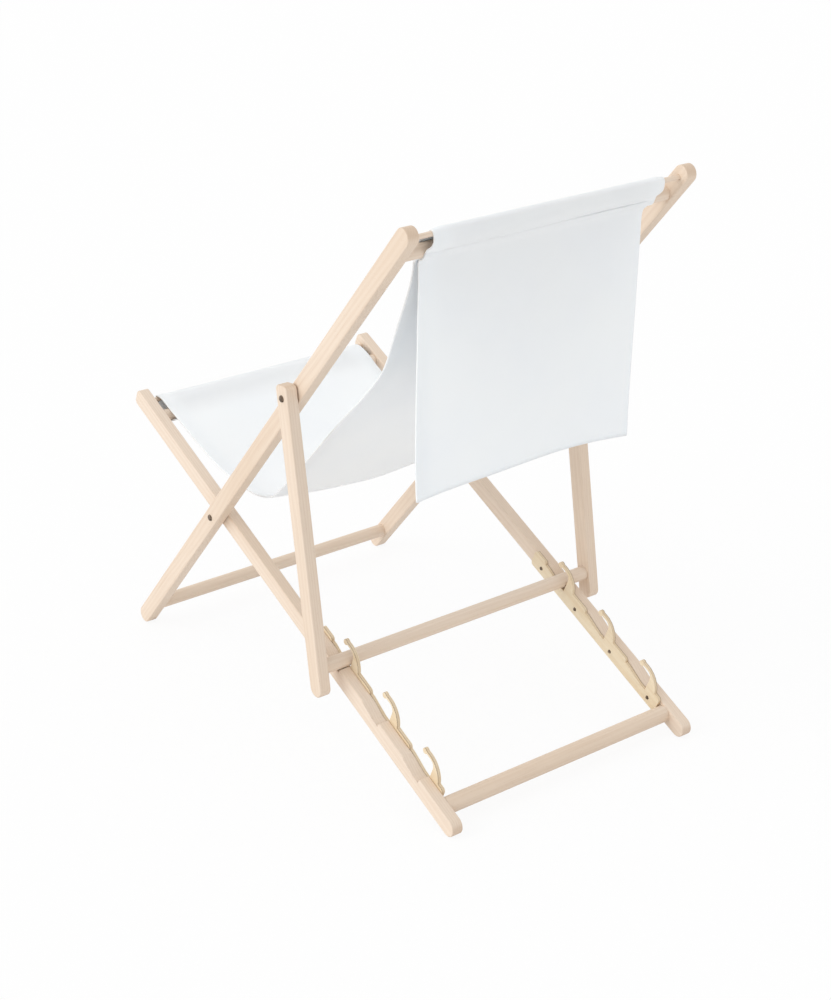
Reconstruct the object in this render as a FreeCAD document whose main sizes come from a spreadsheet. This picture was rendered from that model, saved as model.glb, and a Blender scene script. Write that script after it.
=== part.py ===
"""Folding sling deck chair in millimetres: three hinged beech frames and a canvas sling.

+Z is up, the chair faces -Y, +X is its left side, and the origin is on the floor
below the middle of the chair.
"""
import FreeCAD, Part
import math
import os

import Sketcher
from FreeCAD import Placement, Rotation, Vector

# Driving dimensions: alias, value in mm or count, meaning
SIZES = [
    ("overallWidth", 580, "over the outer faces of the prop legs"),
    ("railThickness", 20, "every rail, across the chair"),
    ("railDepth", 30, "every rail, in the plane of its side"),
    ("cornerRadius", 8, "corners of the rail ends that are not full rounds"),
    ("edgeRound", 2, "eased edges of the rails"),
    ("backFoot", 412, "main pivot to the foot end of a back rail"),
    ("backTop", 866, "main pivot to the top end of a back rail"),
    ("seatFront", 308, "main pivot to the front end of a seat rail"),
    ("rackTail", 99.5, "step of the last notch to the rear foot end of a seat rail"),
    ("propPivotAt", 418, "main pivot to prop pivot along a back rail"),
    ("propTop", 21, "prop pivot to the top end of a prop leg"),
    ("propFoot", 495, "prop pivot to the foot end of a prop leg"),
    ("propBarAt", 448.5, "prop pivot to the prop crossbar"),
    ("footBarInset", 55, "foot end of the back rails to the front foot crossbar"),
    ("rearBarInset", 49, "foot end of the seat rails to the rear crossbar"),
    ("slingRodInset", 21, "end of the rails to the head rod and to the front rod"),
    ("slingRodSpacing", 42, "rod to the bar beside it, at the head and at the front"),
    ("propBarDiameter", 24, "prop crossbar"),
    ("footBarDiameter", 24, "front foot crossbar"),
    ("rearBarDiameter", 28, "rear crossbar"),
    ("slingBarDiameter", 22, "head bar and front bar"),
    ("rodDiameter", 8, "head rod and front rod"),
    ("tenonDiameter", 16, "turned ends of the bars"),
    ("tenonLength", 14, "depth of the bar ends in the rails"),
    ("rodDepth", 10, "depth of the rod ends in the rails"),
    ("fitGap", 0.05, "radial clearance of every round fit"),
    ("restGap", 0.3, "clearance of curved faces that rest on each other"),
    ("notchCount", 3, "positions of the rack"),
    ("notchPitch", 116.5, "from one notch to the next"),
    ("firstStepAt", 377.5, "main pivot to the step of the first notch"),
    ("notchFloor", 8, "height of a notch floor above the rail's centreline"),
    ("notchSeat", 14, "length of a notch floor"),
    ("notchRamp", 49, "step to the start of the ramp into the notch"),
    ("combThickness", 6, "plywood comb plate"),
    ("combLead", 87.5, "upper end of a comb plate to the step of the first notch"),
    ("combEndGap", 1, "lower end of a comb plate to the rear crossbar"),
    ("combTop", 20, "top edge of a comb plate above the centreline"),
    ("combBottom", 12, "lower edge of a comb plate below the centreline"),
    ("combCorner", 6, "rounded corners of a comb plate"),
    ("humpBack", 62, "step to the end of the hump before the notch"),
    ("fingerInset", 1.5, "inner face of a finger behind the step"),
    ("fingerWidth", 20, "foot of a finger along the plate"),
    ("fingerHeight", 49.5, "top of a finger's neck above the centreline"),
    ("fingerNeck", 4.2, "neck of a finger, behind its tip"),
    ("fingerCrown", 10, "tip to the centre of a finger's outer curve"),
    ("fingerThroat", 11, "inner bend of a finger, radius"),
    ("fingerReach", 26, "centre of a finger's round tip in front of the step"),
    ("fingerTipDiameter", 10, "round tip of a finger"),
    ("fingerTipDrop", 3.5, "top of the neck down to the centre of the round tip"),
    ("boltDiameter", 6, "pivot bolts"),
    ("boltHeadDiameter", 11, "domed heads of the pivot bolts"),
    ("boltHeadHeight", 2.6, "domed heads of the pivot bolts"),
    ("boltDome", 2, "rounding of those heads"),
    ("washerDiameter", 18, "washers between the rails"),
    ("washerThickness", 2, "washers, and so the gap between neighbouring rails"),
    ("nutAcrossFlats", 10, "pivot nuts"),
    ("nutHeight", 5, "pivot nuts"),
    ("boltPastNut", 1.5, "bolt end beyond its nut"),
    ("screwDiameter", 3.5, "comb screws"),
    ("screwHeadDiameter", 7, "comb screws"),
    ("screwHeadHeight", 1.6, "comb screws"),
    ("screwCrownDiameter", 5, "flat crown of the screw heads"),
    ("screwDepth", 16, "comb screws, below the head"),
    ("clothWidth", 430, "canvas across the chair"),
    ("clothThickness", 2, "canvas with its hems"),
    ("slingSplitBehind", 71, "main pivot back to the line between both frames' canvas"),
    ("slingSplitAbove", 51, "main pivot up to that line"),
    ("slingSplitGap", 3, "gap of the canvas there"),
    ("splitLeadBack", 143, "run of the back canvas's curve at that line"),
    ("splitLeadUp", 21, "rise of that run"),
    ("splitLeadFront", 80, "run of the seat canvas's curve at that line"),
    ("headLeadDown", 197, "drop of the back canvas's curve at the head"),
    ("headLeadForward", 57, "run of that drop"),
    ("frontLeadBack", 90, "run of the seat canvas's curve at the front"),
    ("frontLeadDown", 37, "drop of that run"),
    ("seamAngle", 30, "degrees below level where the back canvas leaves the head bar"),
    ("flapSeamAngle", 60, "degrees below level where the rear flap hangs from it"),
    ("flapLength", 384, "rear flap below the head bar"),
    ("flapAngle", 2.7, "degrees that the flap hangs forward of plumb"),
]

# Comb screws as distances from the main pivot along the seat rail
SCREWS_AT = [
    ("screwOne", 316),
    ("screwTwo", 416),
    ("screwThree", 517),
    ("screwFour", 623),
]

doc = FreeCAD.newDocument("DeckChair")
sheet = doc.addObject("Spreadsheet::Sheet", "Sizes")


def fillSheet(rows):
    """Write the driving dimensions as plain numbers with aliases."""
    for number, row in enumerate(rows, start=1):
        sheet.set("A%d" % number, row[0])
        sheet.set("B%d" % number, str(row[1]))
        sheet.setAlias("B%d" % number, row[0])
    doc.recompute()


fillSheet(SIZES + SCREWS_AT)


def size(alias):
    """Value of one driving dimension."""
    return float(sheet.get(alias))


def cells(expression):
    """Turn {alias} in an expression into a reference to the sheet."""
    return expression.replace("{", "Sizes.").replace("}", "")


def value(expression):
    """Number that an expression of the sheet's cells gives now."""
    return float(sheet.evalExpression(cells(expression)))


# Places along the rails, from the main pivot
LAST_STEP_AT = "({firstStepAt} + {notchPitch} * ({notchCount} - 1))"
SEAT_FOOT = "(" + LAST_STEP_AT + " + {rackTail})"
REAR_BAR_AT = "(" + SEAT_FOOT + " - {rearBarInset})"
FOOT_BAR_AT = "({backFoot} - {footBarInset})"
HEAD_ROD_AT = "({backTop} - {slingRodInset})"
HEAD_BAR_AT = "(" + HEAD_ROD_AT + " - {slingRodSpacing})"
FRONT_ROD_AT = "({seatFront} - {slingRodInset})"
FRONT_BAR_AT = "(" + FRONT_ROD_AT + " - {slingRodSpacing})"
COMB_START = "({firstStepAt} - {combLead})"
COMB_END = "(" + REAR_BAR_AT + " - {rearBarDiameter} / 2 - {combEndGap})"

# Places across the chair, as distances from its middle plane
propInner = size("overallWidth") / 2 - size("railThickness")
backOuter = propInner - size("washerThickness")
backInner = backOuter - size("railThickness")
seatOuter = backInner - size("washerThickness")
seatInner = seatOuter - size("railThickness")
combInner = seatInner - size("combThickness")
PROP_INNER = "({overallWidth} / 2 - {railThickness})"
BACK_OUTER = "(" + PROP_INNER + " - {washerThickness})"
BACK_INNER = "(" + BACK_OUTER + " - {railThickness})"
SEAT_INNER = "(" + BACK_INNER + " - {washerThickness} - {railThickness})"


# The standing pose follows from the lengths: the prop crossbar lies in the first notch,
# and both round feet stand on the floor.
footRadius = size("railDepth") / 2
backReach = size("backFoot") - footRadius
seatReach = value(SEAT_FOOT) - footRadius
propBarRadius = size("propBarDiameter") / 2
notchAlong = size("firstStepAt") - size("restGap") - propBarRadius
notchAbove = size("notchFloor") + size("restGap") + propBarRadius
notchDistance = math.hypot(notchAlong, notchAbove)


def triangleAngle(sideOne, sideTwo, opposite):
    """Angle between two sides of a triangle whose third side is known."""
    return math.acos((sideOne ** 2 + sideTwo ** 2 - opposite ** 2) / (2 * sideOne * sideTwo))


opening = triangleAngle(size("propPivotAt"), notchDistance, size("propBarAt"))
opening += math.atan2(notchAbove, notchAlong)
backAngle = math.atan2(seatReach * math.sin(opening), backReach + seatReach * math.cos(opening))
seatAngle = backAngle - opening
pivotY = (backReach * math.cos(backAngle) - seatReach * math.cos(seatAngle)) / 2
pivotZ = footRadius + backReach * math.sin(backAngle)


class SideFrame:
    """A side view frame: along runs with the rail, above stands on its upper edge."""

    def __init__(self, y, z, angle):
        self.origin = Vector(0, y, z)
        self.angle = angle
        self.along = Vector(0, math.cos(angle), math.sin(angle))
        self.above = Vector(0, -math.sin(angle), math.cos(angle))

    def point(self, along, above=0.0, x=0.0):
        """Place in the chair of a point given in this frame."""
        return self.origin + self.along * along + self.above * above + Vector(x, 0, 0)

    def placement(self, x=0.0, along=0.0, above=0.0, left=True):
        """Local X along the rail, local Y above it, local Z across the chair.

        With left=False the same place on the right side, with local Z pointing outward there.
        """
        if left:
            turn = Rotation(self.along, self.above, Vector(1, 0, 0), "XYZ")
            return Placement(self.point(along, above, x), turn)
        turn = Rotation(self.along, self.above * -1, Vector(-1, 0, 0), "XYZ")
        return Placement(self.point(along, above, -x), turn)


backFrame = SideFrame(pivotY, pivotZ, backAngle)
seatFrame = SideFrame(pivotY, pivotZ, seatAngle)
propPivot = backFrame.point(size("propPivotAt"))
propBar = seatFrame.point(notchAlong, notchAbove)
propAngle = math.atan2(propBar.z - propPivot.z, propBar.y - propPivot.y)
propFrame = SideFrame(propPivot.y, propPivot.z, propAngle)

pieces = []
tolerance = 1e-4


def newBody(label):
    """A body whose label names its file."""
    body = doc.addObject("PartDesign::Body", label)
    body.Label = label
    pieces.append(body)
    return body


def newSketch(body, name, height=None):
    """A sketch on the body's XY plane, or at a height above it given as an expression."""
    sketch = body.newObject("Sketcher::SketchObject", name)
    plane = next(item for item in body.Origin.OriginFeatures if item.Role == "XY_Plane")
    sketch.AttachmentSupport = [(plane, "")]
    sketch.MapMode = "FlatFace"
    if height:
        sketch.setExpression("AttachmentOffset.Base.z", cells(height))
    return sketch


def bind(sketch, name, constraint, expression):
    """Add a named constraint and bind it to the sheet."""
    index = sketch.addConstraint(constraint)
    sketch.renameConstraint(index, name)
    sketch.setExpression("Constraints." + name, cells(expression))


def addCircle(sketch, name, along, diameter):
    """A circle on the sketch's X axis, both sizes given as expressions."""
    place = value(along)
    circle = sketch.addGeometry(Part.Circle(Vector(place, 0, 0), Vector(0, 0, 1), value(diameter) / 2), False)
    bind(sketch, name + "Size", Sketcher.Constraint("Diameter", circle, value(diameter)), diameter)
    sketch.addConstraint(Sketcher.Constraint("PointOnObject", circle, 3, -1))
    if abs(place) < 1e-6:
        sketch.addConstraint(Sketcher.Constraint("DistanceX", -1, 1, circle, 3, 0))
    elif place > 0:
        bind(sketch, name + "At", Sketcher.Constraint("DistanceX", -1, 1, circle, 3, place), along)
    else:
        distance = Sketcher.Constraint("DistanceX", circle, 3, -1, 1, -place)
        bind(sketch, name + "At", distance, "-(" + along + ")")


def addPad(body, name, sketch, length, symmetric=False):
    """Pad a sketch by a length given as an expression."""
    pad = body.newObject("PartDesign::Pad", name)
    pad.Profile = sketch
    if symmetric:
        pad.SideType = "Symmetric"
    pad.setExpression("Length", cells(length))
    doc.recompute()
    return pad


def addPocket(body, name, sketch, depth=None, upward=True):
    """Cut a sketch to a depth, or right through, and make sure that it did cut."""
    before = body.Shape.Volume
    pocket = body.newObject("PartDesign::Pocket", name)
    pocket.Profile = sketch
    pocket.Reversed = upward
    if depth:
        pocket.setExpression("Length", cells(depth))
    else:
        pocket.Type = "ThroughAll"
    doc.recompute()
    if body.Shape.Volume > before - 1:
        raise RuntimeError(body.Label + " " + name + " cuts nothing")
    return pocket


def addFillet(body, name, keep, radius):
    """Round the edges of the body that the function keep picks."""
    base = body.Tip
    picked = ["Edge%d" % number for number, edge in enumerate(base.Shape.Edges, start=1) if keep(edge)]
    fillet = body.newObject("PartDesign::Fillet", name)
    fillet.Base = (base, picked)
    fillet.setExpression("Radius", cells(radius))
    doc.recompute()
    return fillet


def addPattern(body, name, feature, axisSketch):
    """Repeat a feature at the notch pitch along the rail."""
    pattern = body.newObject("PartDesign::LinearPattern", name)
    pattern.Originals = [feature]
    pattern.Direction = (axisSketch, ["H_Axis"])
    pattern.setExpression("Length", cells("{notchPitch} * ({notchCount} - 1)"))
    pattern.setExpression("Occurrences", cells("{notchCount}"))
    body.Tip = pattern
    doc.recompute()
    return pattern


def railOutline(body, near, far, nearRound):
    """Outline of a rail from -near to far along X: the far end is a full round, the near one may be."""
    half = size("railDepth") / 2
    nearEnd = -value(near)
    farEnd = value(far)
    middle = Vector(0, 0, 1)
    sketch = newSketch(body, body.Label + "_outline")
    left = nearEnd + half if nearRound else nearEnd
    upper = sketch.addGeometry(Part.LineSegment(Vector(left, half, 0), Vector(farEnd - half, half, 0)), False)
    farCircle = Part.Circle(Vector(farEnd - half, 0, 0), middle, half)
    farArc = sketch.addGeometry(Part.ArcOfCircle(farCircle, -math.pi / 2, math.pi / 2), False)
    lowerEdge = Part.LineSegment(Vector(farEnd - half, -half, 0), Vector(left, -half, 0))
    lower = sketch.addGeometry(lowerEdge, False)
    sketch.addConstraint(Sketcher.Constraint("Horizontal", upper))
    sketch.addConstraint(Sketcher.Constraint("Horizontal", lower))
    sketch.addConstraint(Sketcher.Constraint("Tangent", upper, 2, farArc, 2))
    sketch.addConstraint(Sketcher.Constraint("Tangent", farArc, 1, lower, 1))
    sketch.addConstraint(Sketcher.Constraint("PointOnObject", farArc, 3, -1))
    if nearRound:
        nearCircle = Part.Circle(Vector(left, 0, 0), middle, half)
        nearArc = sketch.addGeometry(Part.ArcOfCircle(nearCircle, math.pi / 2, 1.5 * math.pi), False)
        sketch.addConstraint(Sketcher.Constraint("Tangent", nearArc, 1, upper, 1))
        sketch.addConstraint(Sketcher.Constraint("Tangent", lower, 2, nearArc, 2))
        reach = Sketcher.Constraint("DistanceX", nearArc, 3, -1, 1, -left)
        bind(sketch, "near", reach, near + " - {railDepth} / 2")
    else:
        end = sketch.addGeometry(Part.LineSegment(Vector(left, -half, 0), Vector(left, half, 0)), False)
        sketch.addConstraint(Sketcher.Constraint("Vertical", end))
        sketch.addConstraint(Sketcher.Constraint("Coincident", lower, 2, end, 1))
        sketch.addConstraint(Sketcher.Constraint("Coincident", end, 2, upper, 1))
        bind(sketch, "near", Sketcher.Constraint("DistanceX", end, 1, -1, 1, -left), near)
    reach = Sketcher.Constraint("DistanceX", -1, 1, farArc, 3, farEnd - half)
    bind(sketch, "far", reach, far + " - {railDepth} / 2")
    bind(sketch, "half", Sketcher.Constraint("DistanceY", -1, 1, upper, 1, half), "{railDepth} / 2")
    doc.recompute()
    return sketch


def railBlank(label, near, far, nearRound):
    """A rail with its ends and edges rounded, before any hole."""
    body = newBody(label)
    outline = railOutline(body, near, far, nearRound)
    addPad(body, label + "_pad", outline, "{railThickness}")
    nearEnd = -value(near)

    def across(edge):
        return edge.BoundBox.ZLength > size("railThickness") / 2

    def atNearEnd(edge):
        return across(edge) and edge.BoundBox.XMax < nearEnd + tolerance

    def onSide(edge):
        return not across(edge)

    if not nearRound:
        addFillet(body, label + "_corners", atNearEnd, "{cornerRadius}")
    addFillet(body, label + "_edges", onSide, "{edgeRound}")
    return body


def addSockets(body, left, sockets):
    """Blind round sockets in the inner face of a rail: name, place, diameter and depth."""
    for name, along, diameter, depth in sockets:
        sketch = newSketch(body, body.Label + "_" + name, None if left else "{railThickness}")
        addCircle(sketch, name, along, diameter + " + 2 * {fitGap}")
        addPocket(body, body.Label + "_" + name + "_cut", sketch, depth, upward=left)


def addHoles(body, holes):
    """Round holes right through a rail: name, place and diameter."""
    for name, along, diameter in holes:
        sketch = newSketch(body, body.Label + "_" + name)
        addCircle(sketch, name, along, diameter + " + 2 * {fitGap}")
        addPocket(body, body.Label + "_" + name + "_cut", sketch)


def pinPoint(sketch, name, item, position, place):
    """Bind both coordinates of a sketch point to expressions."""
    for letter, kind, expression in (("x", "DistanceX", place[0]), ("y", "DistanceY", place[1])):
        distance = Sketcher.Constraint(kind, -1, 1, item, position, value(expression))
        bind(sketch, name + letter, distance, expression)


def closedPath(sketch, corners, arcs=None):
    """Closed outline through corners given as expressions: arcs maps a side to its centre's x and turn."""
    arcs = arcs or {}
    points = [Vector(value(x), value(y), 0) for x, y in corners]
    sides = []
    for number, start in enumerate(points):
        end = points[(number + 1) % len(points)]
        if number not in arcs:
            side = sketch.addGeometry(Part.LineSegment(start, end), False)
            sides.append((side, 1, 2))
            continue
        centreX = value(arcs[number][0])
        centreY = ((end.x - centreX) ** 2 - (start.x - centreX) ** 2 + end.y ** 2 - start.y ** 2)
        centreY /= 2 * (end.y - start.y)
        centre = Vector(centreX, centreY, 0)
        first, last = (start, end) if arcs[number][1] == "left" else (end, start)
        angles = [math.atan2(point.y - centreY, point.x - centreX) for point in (first, last)]
        circle = Part.Circle(centre, Vector(0, 0, 1), (start - centre).Length)
        side = sketch.addGeometry(Part.ArcOfCircle(circle, angles[0], angles[1]), False)
        sides.append((side, 1, 2) if first is start else (side, 2, 1))
        distance = Sketcher.Constraint("DistanceX", -1, 1, side, 3, centreX)
        bind(sketch, "centre%d" % number, distance, arcs[number][0])
    for number, (side, start, end) in enumerate(sides):
        follower = sides[(number + 1) % len(sides)]
        sketch.addConstraint(Sketcher.Constraint("Coincident", side, end, follower[0], follower[1]))
        pinPoint(sketch, "corner%d" % number, side, start, corners[number])
    doc.recompute()


def addNotches(body):
    """Open notches in the upper edge of a seat rail: a ramp, a floor and a square step."""
    sketch = newSketch(body, body.Label + "_notch")
    over = "{railDepth}"
    closedPath(sketch, [
        ("{firstStepAt} - {notchRamp}", "{railDepth} / 2"),
        ("{firstStepAt} - {notchSeat}", "{notchFloor}"),
        ("{firstStepAt}", "{notchFloor}"),
        ("{firstStepAt}", over),
        ("{firstStepAt} - {notchRamp}", over),
    ])
    notch = addPocket(body, body.Label + "_notch_cut", sketch)
    addPattern(body, body.Label + "_notches", notch, sketch)


def buildBackRail(label, left):
    """Back rail: prop pivot, main pivot, and sockets for the foot crossbar, head bar and head rod."""
    body = railBlank(label, "{backFoot}", "{backTop}", nearRound=True)
    addHoles(body, [("main_pivot", "0", "{boltDiameter}"), ("prop_pivot", "{propPivotAt}", "{boltDiameter}")])
    addSockets(body, left, [
        ("foot_bar", "-" + FOOT_BAR_AT, "{tenonDiameter}", "{tenonLength}"),
        ("head_bar", HEAD_BAR_AT, "{tenonDiameter}", "{tenonLength}"),
        ("head_rod", HEAD_ROD_AT, "{rodDiameter}", "{rodDepth}"),
    ])
    body.Placement = backFrame.placement(backInner if left else -backOuter)


def buildSeatRail(label, left):
    """Seat rail: notches, main pivot, and sockets for the front bar, front rod and rear crossbar."""
    body = railBlank(label, "{seatFront}", SEAT_FOOT, nearRound=False)
    addNotches(body)
    addHoles(body, [("main_pivot", "0", "{boltDiameter}")])
    addSockets(body, left, [
        ("front_bar", "-" + FRONT_BAR_AT, "{tenonDiameter}", "{tenonLength}"),
        ("front_rod", "-" + FRONT_ROD_AT, "{rodDiameter}", "{rodDepth}"),
        ("rear_bar", REAR_BAR_AT, "{tenonDiameter}", "{tenonLength}"),
    ])
    pilot = "{screwDepth} - {combThickness}"
    addSockets(body, left, [(name, "{%s}" % name, "{screwDiameter}", pilot) for name, place in SCREWS_AT])
    body.Placement = seatFrame.placement(seatInner if left else -seatOuter)


def buildPropLeg(label, left):
    """Prop leg: prop pivot and a socket for the prop crossbar."""
    body = railBlank(label, "{propTop}", "{propFoot}", nearRound=False)
    addHoles(body, [("prop_pivot", "0", "{boltDiameter}")])
    addSockets(body, left, [("prop_bar", "{propBarAt}", "{tenonDiameter}", "{tenonLength}")])
    body.Placement = propFrame.placement(propInner if left else -size("overallWidth") / 2)


def buildBar(label, diameter, halfSpan, frame, along):
    """A turned bar between two rails, with its thinner ends in their sockets."""
    body = newBody(label)
    core = newSketch(body, label + "_core")
    addCircle(core, "core", "0", diameter)
    addPad(body, label + "_length", core, "2 * " + halfSpan, symmetric=True)
    ends = newSketch(body, label + "_ends")
    addCircle(ends, "ends", "0", "{tenonDiameter}")
    addPad(body, label + "_tenons", ends, "2 * (%s + {tenonLength})" % halfSpan, symmetric=True)
    body.Placement = frame.placement(0, along)


def buildRod(label, halfSpan, frame, along):
    """A plain thin rod between two rails."""
    body = newBody(label)
    core = newSketch(body, label + "_core")
    addCircle(core, "core", "0", "{rodDiameter}")
    addPad(body, label + "_length", core, "2 * (%s + {rodDepth})" % halfSpan, symmetric=True)
    body.Placement = frame.placement(0, along)


def addScrewHoles(body):
    """Clearance holes of the comb screws, right through a plate."""
    addHoles(body, [(name, "{%s}" % name, "{screwDiameter}") for name, place in SCREWS_AT])


def addCombNotches(body):
    """Notches of a comb plate: a rounded hump, the rail's ramp and floor, and the finger's inner face."""
    sketch = newSketch(body, body.Label + "_notch")
    hump = "{firstStepAt} - {humpBack}"
    floor = "{notchFloor} - 2 * {restGap}"
    inner = "{firstStepAt} + {fingerInset}"
    over = "{combTop} + {railDepth} / 2"
    closedPath(sketch, [
        (hump, "{combTop}"),
        (hump + " + {combCorner}", "{combTop} - {combCorner}"),
        ("{firstStepAt} - {notchRamp}", "{combTop} - {combCorner}"),
        ("{firstStepAt} - {notchSeat}", floor),
        (inner, floor),
        (inner, over),
        (hump, over),
    ], {0: (hump, "right")})
    notch = addPocket(body, body.Label + "_notch_cut", sketch)
    addPattern(body, body.Label + "_notches", notch, sketch)


def addFingers(body):
    """Hooked fingers: each rises behind its notch and bends forward over it, with a thin neck and a round tip."""
    sketch = newSketch(body, body.Label + "_finger")
    root = "{combTop} - {combCorner}"
    inner = "{firstStepAt} + {fingerInset}"
    back = inner + " + {fingerWidth}"
    tip = "{firstStepAt} - {fingerReach}"
    throat = "{fingerHeight} - {fingerNeck}"
    closedPath(sketch, [
        (inner, root),
        (inner, throat + " - {fingerThroat}"),
        (inner + " - {fingerThroat}", throat),
        (tip, throat),
        (tip, "{fingerHeight}"),
        (tip + " + {combCorner}", "{fingerHeight}"),
        (back, "{combTop}"),
        (back, root),
    ], {1: (inner + " - {fingerThroat}", "left"), 5: (tip + " + {fingerCrown}", "right")})
    finger = addPad(body, body.Label + "_finger_pad", sketch, "{combThickness}")
    addPattern(body, body.Label + "_fingers", finger, sketch)
    end = newSketch(body, body.Label + "_tip")
    centre = (tip, "{fingerHeight} - {fingerTipDrop}")
    radius = size("fingerTipDiameter") / 2
    circle = Part.Circle(Vector(value(centre[0]), value(centre[1]), 0), Vector(0, 0, 1), radius)
    item = end.addGeometry(circle, False)
    bind(end, "tipSize", Sketcher.Constraint("Diameter", item, 2 * radius), "{fingerTipDiameter}")
    pinPoint(end, "tip", item, 3, centre)
    knob = addPad(body, body.Label + "_tip_pad", end, "{combThickness}")
    addPattern(body, body.Label + "_tips", knob, end)


def buildComb(label, left):
    """Plywood comb plate on the inner face of a seat rail."""
    body = newBody(label)
    sketch = newSketch(body, label + "_strip")
    closedPath(sketch, [
        (COMB_START, "-{combBottom}"),
        (COMB_END, "-{combBottom}"),
        (COMB_END, "{combTop}"),
        (COMB_START, "{combTop}"),
    ])
    addPad(body, label + "_pad", sketch, "{combThickness}")
    half = size("combThickness") / 2
    addFillet(body, label + "_corners", lambda edge: edge.BoundBox.ZLength > half, "{combCorner}")
    addCombNotches(body)
    addFingers(body)
    addScrewHoles(body)
    body.Placement = seatFrame.placement(combInner if left else -seatInner)


def buildWasher(label, frame, along, inner, left):
    """Washer between two rails."""
    body = newBody(label)
    sketch = newSketch(body, label + "_ring")
    addCircle(sketch, "outside", "0", "{washerDiameter}")
    addCircle(sketch, "bore", "0", "{boltDiameter} + 2 * {fitGap}")
    addPad(body, label + "_pad", sketch, "{washerThickness}")
    body.Placement = frame.placement(inner, along, left=left)


def buildBolt(label, frame, along, outer, left):
    """Domed bolt through two rails, from its head on the outer face."""
    body = newBody(label)
    head = newSketch(body, label + "_head")
    addCircle(head, "head", "0", "{boltHeadDiameter}")
    addPad(body, label + "_head_pad", head, "{boltHeadHeight}")
    top = size("boltHeadHeight")
    addFillet(body, label + "_dome", lambda edge: edge.BoundBox.ZMin > top - tolerance, "{boltDome}")
    shank = newSketch(body, label + "_shank")
    addCircle(shank, "shank", "0", "{boltDiameter}")
    pad = addPad(body, label + "_shank_pad", shank,
                 "2 * {railThickness} + {washerThickness} + {nutHeight} + {boltPastNut}")
    pad.Reversed = True
    doc.recompute()
    body.Placement = frame.placement(outer, along, left=left)


def buildNut(label, frame, along, inner, left):
    """Hexagon nut on the inner face of the inner rail."""
    body = newBody(label)
    sketch = newSketch(body, label + "_hexagon")
    corners = []
    for number in range(6):
        turn = "{nutAcrossFlats} / sqrt(3) * %s(%d deg)"
        corners.append((turn % ("cos", 60 * number), turn % ("sin", 60 * number)))
    closedPath(sketch, corners)
    addCircle(sketch, "bore", "0", "{boltDiameter} + 2 * {fitGap}")
    addPad(body, label + "_pad", sketch, "{nutHeight}")
    body.Placement = frame.placement(inner - size("nutHeight"), along, left=left)


def buildScrews(label, left):
    """The wood screws of one comb plate, one node of separate solids."""
    screws = []
    for name, place in SCREWS_AT:
        shank = doc.addObject("Part::Cylinder", label + "_" + name + "_shank")
        shank.setExpression("Radius", cells("{screwDiameter} / 2"))
        shank.setExpression("Height", cells("{screwDepth}"))
        shank.Placement = seatFrame.placement(combInner, size(name), left=left)
        head = doc.addObject("Part::Cone", label + "_" + name + "_head")
        head.setExpression("Radius1", cells("{screwCrownDiameter} / 2"))
        head.setExpression("Radius2", cells("{screwHeadDiameter} / 2"))
        head.setExpression("Height", cells("{screwHeadHeight}"))
        head.Placement = seatFrame.placement(combInner - size("screwHeadHeight"), size(name), left=left)
        screw = doc.addObject("Part::Fuse", label + "_" + name)
        screw.Base = shank
        screw.Tool = head
        screws.append(screw)
    group = doc.addObject("Part::Compound", label)
    group.Label = label
    group.Links = screws
    pieces.append(group)


def beltWire(centreOne, radiusOne, centreTwo, radiusTwo):
    """Belt round two circles on the local X axis; the second circle lies further along X."""
    distance = centreTwo - centreOne
    lean = math.acos((radiusOne - radiusTwo) / distance)
    one = Vector(centreOne, 0, 0)
    two = Vector(centreTwo, 0, 0)

    def onCircle(centre, radius, angle):
        return centre + Vector(math.cos(angle), math.sin(angle), 0) * radius

    upper = Part.LineSegment(onCircle(one, radiusOne, lean), onCircle(two, radiusTwo, lean))
    lower = Part.LineSegment(onCircle(two, radiusTwo, -lean), onCircle(one, radiusOne, -lean))
    far = Part.Arc(upper.EndPoint, onCircle(two, radiusTwo, 0), lower.StartPoint)
    near = Part.Arc(lower.EndPoint, onCircle(one, radiusOne, math.pi), upper.StartPoint)
    return Part.Wire([upper.toShape(), far.toShape(), lower.toShape(), near.toShape()])


def hemLoop(barAt, rodAt):
    """Canvas loop round a bar and its rod, in the side frame's own axes."""
    circles = sorted([(barAt, size("slingBarDiameter") / 2), (rodAt, size("rodDiameter") / 2)])
    wires = []
    for layer in (size("restGap") + size("clothThickness"), size("restGap")):
        (one, radiusOne), (two, radiusTwo) = circles
        wires.append(beltWire(one, radiusOne + layer, two, radiusTwo + layer))
    face = Part.Face(wires[0]).cut(Part.Face(wires[1]))
    return face.extrude(Vector(0, 0, size("clothWidth")))


def canvasStrip(frame, poles):
    """Strip of canvas along a curve whose poles are places in the chair."""
    back = frame.placement().inverse()
    half = Vector(0, size("clothThickness") / 2, 0)
    curve = Part.BezierCurve()
    curve.setPoles([back.multVec(pole) for pole in poles])
    lower = curve.toShape()
    upper = curve.toShape()
    lower.translate(half * -1)
    upper.translate(half)
    ends = []
    for index in (0, -1):
        pole = back.multVec(poles[index])
        ends.append(Part.LineSegment(pole - half, pole + half).toShape())
    outline = Part.Wire(Part.__sortEdges__([lower, ends[1], upper, ends[0]]))
    return Part.Face(outline).extrude(Vector(0, 0, size("clothWidth")))


def addCanvas(label, frame, shape):
    """A soft piece whose shape is set in its side frame."""
    canvas = doc.addObject("Part::Feature", label)
    canvas.Label = label
    canvas.Shape = shape.removeSplitter()
    canvas.Placement = frame.placement(-size("clothWidth") / 2)
    pieces.append(canvas)


splitPlace = Vector(0, pivotY + size("slingSplitBehind"), pivotZ + size("slingSplitAbove"))
splitLead = Vector(0, size("splitLeadBack"), size("splitLeadUp"))
splitLine = splitLead / splitLead.Length


def downForward(alias):
    """Direction that points forward and by an angle of the sheet below level."""
    angle = math.radians(size(alias))
    return Vector(0, -math.cos(angle), -math.sin(angle))


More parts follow.
